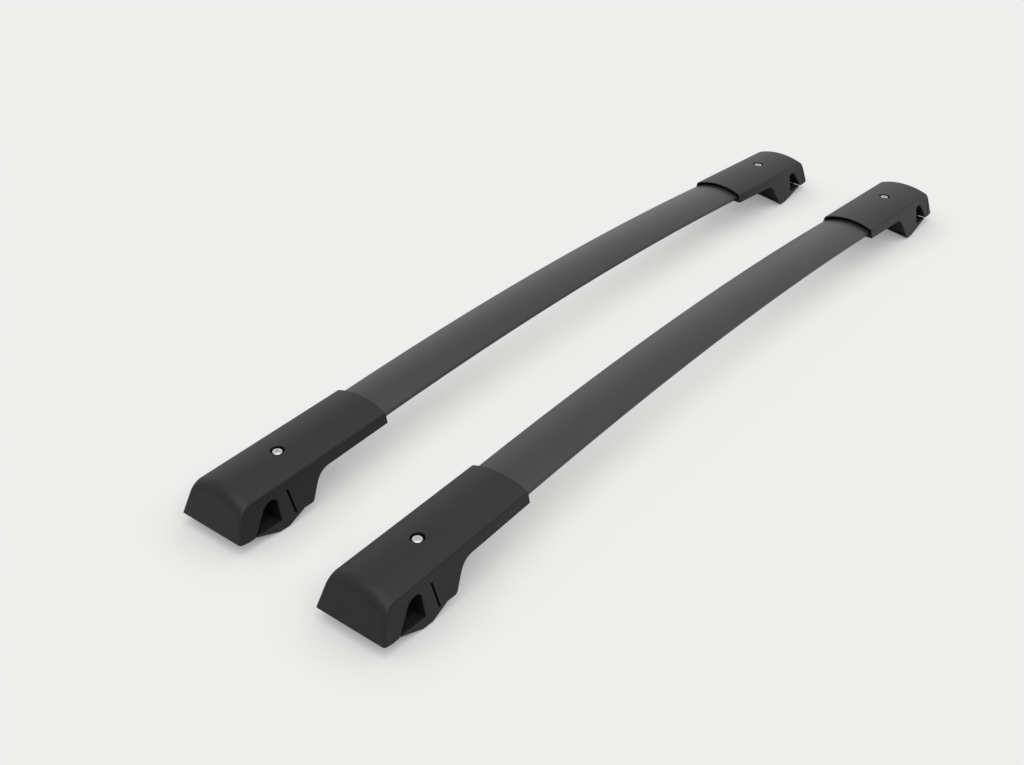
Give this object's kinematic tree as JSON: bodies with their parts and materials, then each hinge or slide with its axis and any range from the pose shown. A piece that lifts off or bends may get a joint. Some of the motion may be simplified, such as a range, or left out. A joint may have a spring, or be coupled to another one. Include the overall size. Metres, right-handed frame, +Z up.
{
  "type": "pair of roof crossbars",
  "caption": "Arched aero roof crossbars with moulded end feet, each foot clamping a vehicle's side rail by a screw-drawn jaw.",
  "frame": {"origin": "on the ground, midway along the bars and midway between them", "axes": "+X along the bars to the right, +Y to the front bar, +Z up"},
  "size_m": [1.157, 0.2776, 0.0677],
  "materials": {
    "bar_coat": "fine textured charcoal coat on extruded aluminium",
    "housing_plastic": "fine grained moulded black plastic",
    "jaw_plastic": "moulded black glass-filled plastic",
    "saddle_rubber": "matt black rubber",
    "pad_rubber": "matt black rubber",
    "bright_steel": "bright turned stainless steel",
    "plated_steel": "zinc plated steel",
    "black_steel": "black oxide steel"
  },
  "bodies": {
    "crossbars": {"front_bar": "bar_coat", "rear_bar": "bar_coat", "front_left_cover": "housing_plastic", "front_left_rail_saddle": "saddle_rubber", "front_left_washer": "bright_steel", "front_left_bar_screws": "black_steel", "front_right_cover": "housing_plastic", "front_right_rail_saddle": "saddle_rubber", "front_right_washer": "bright_steel", "front_right_bar_screws": "black_steel", "rear_left_cover": "housing_plastic", "rear_left_rail_saddle": "saddle_rubber", "rear_left_washer": "bright_steel", "rear_left_bar_screws": "black_steel", "rear_right_cover": "housing_plastic", "rear_right_rail_saddle": "saddle_rubber", "rear_right_washer": "bright_steel", "rear_right_bar_screws": "black_steel"},
    "front_left_screw": {"front_left_clamp_screw": "bright_steel"},
    "front_left_jaw": {"front_left_clamp_jaw": "jaw_plastic", "front_left_jaw_pad": "pad_rubber", "front_left_clamp_nut": "plated_steel"},
    "front_right_screw": {"front_right_clamp_screw": "bright_steel"},
    "front_right_jaw": {"front_right_clamp_jaw": "jaw_plastic", "front_right_jaw_pad": "pad_rubber", "front_right_clamp_nut": "plated_steel"},
    "rear_left_screw": {"rear_left_clamp_screw": "bright_steel"},
    "rear_left_jaw": {"rear_left_clamp_jaw": "jaw_plastic", "rear_left_jaw_pad": "pad_rubber", "rear_left_clamp_nut": "plated_steel"},
    "rear_right_screw": {"rear_right_clamp_screw": "bright_steel"},
    "rear_right_jaw": {"rear_right_clamp_jaw": "jaw_plastic", "rear_right_jaw_pad": "pad_rubber", "rear_right_clamp_nut": "plated_steel"}
  },
  "joints": [
    {"name": "front_left_screw_turn", "type": "hinge", "parent": "crossbars", "child": "front_left_screw", "pos_m": [-0.477, 0.0958, 0.03], "axis": [0, 0, 1], "range_deg": [0, 2160]},
    {"name": "front_left_jaw_slide", "type": "slide", "parent": "crossbars", "child": "front_left_jaw", "axis": [0, 0, -1], "range_m": [0, 0.006]},
    {"name": "front_right_screw_turn", "type": "hinge", "parent": "crossbars", "child": "front_right_screw", "pos_m": [0.477, 0.0958, 0.03], "axis": [0, 0, 1], "range_deg": [0, 2160]},
    {"name": "front_right_jaw_slide", "type": "slide", "parent": "crossbars", "child": "front_right_jaw", "axis": [0, 0, -1], "range_m": [0, 0.006]},
    {"name": "rear_left_screw_turn", "type": "hinge", "parent": "crossbars", "child": "rear_left_screw", "pos_m": [-0.4905, -0.0958, 0.03], "axis": [0, 0, 1], "range_deg": [0, 2160]},
    {"name": "rear_left_jaw_slide", "type": "slide", "parent": "crossbars", "child": "rear_left_jaw", "axis": [0, 0, -1], "range_m": [0, 0.006]},
    {"name": "rear_right_screw_turn", "type": "hinge", "parent": "crossbars", "child": "rear_right_screw", "pos_m": [0.4905, -0.0958, 0.03], "axis": [0, 0, 1], "range_deg": [0, 2160]},
    {"name": "rear_right_jaw_slide", "type": "slide", "parent": "crossbars", "child": "rear_right_jaw", "axis": [0, 0, -1], "range_m": [0, 0.006]}
  ],
  "couplings": [
    {"joint": "front_left_screw_turn", "follows": "front_left_jaw_slide", "rad_per_m": 6283.2},
    {"joint": "front_right_screw_turn", "follows": "front_right_jaw_slide", "rad_per_m": 6283.2},
    {"joint": "rear_left_screw_turn", "follows": "rear_left_jaw_slide", "rad_per_m": 6283.2},
    {"joint": "rear_right_screw_turn", "follows": "rear_right_jaw_slide", "rad_per_m": 6283.2}
  ]
}
